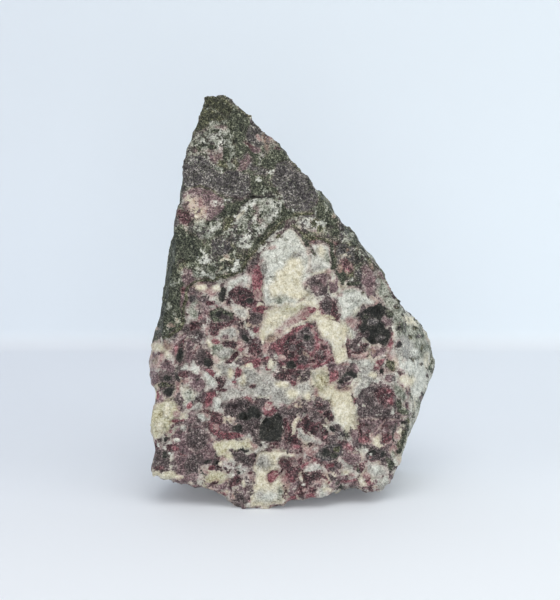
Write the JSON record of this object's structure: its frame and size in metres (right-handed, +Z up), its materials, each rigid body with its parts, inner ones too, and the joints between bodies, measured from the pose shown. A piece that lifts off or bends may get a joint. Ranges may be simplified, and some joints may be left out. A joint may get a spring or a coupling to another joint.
{
  "type": "rough eudialyte",
  "caption": "Rough broken hand specimen of eudialyte syenite with a broad flat face, a pointed top and a dark rind, standing upright on its uneven foot.",
  "frame": {"origin": "middle of the bounding box on the plane that the stone stands on", "axes": "+Z is up towards the pointed top, and -Y looks out of the broad face, which leans back by 12 degrees"},
  "size_m": [0.0688, 0.0396, 0.0902],
  "materials": {
    "eudialyte_syenite": "rough broken mineral, satin on single crystals"
  },
  "bodies": {
    "root": {"rough_eudialyte": "eudialyte_syenite"}
  },
  "joints": []
}
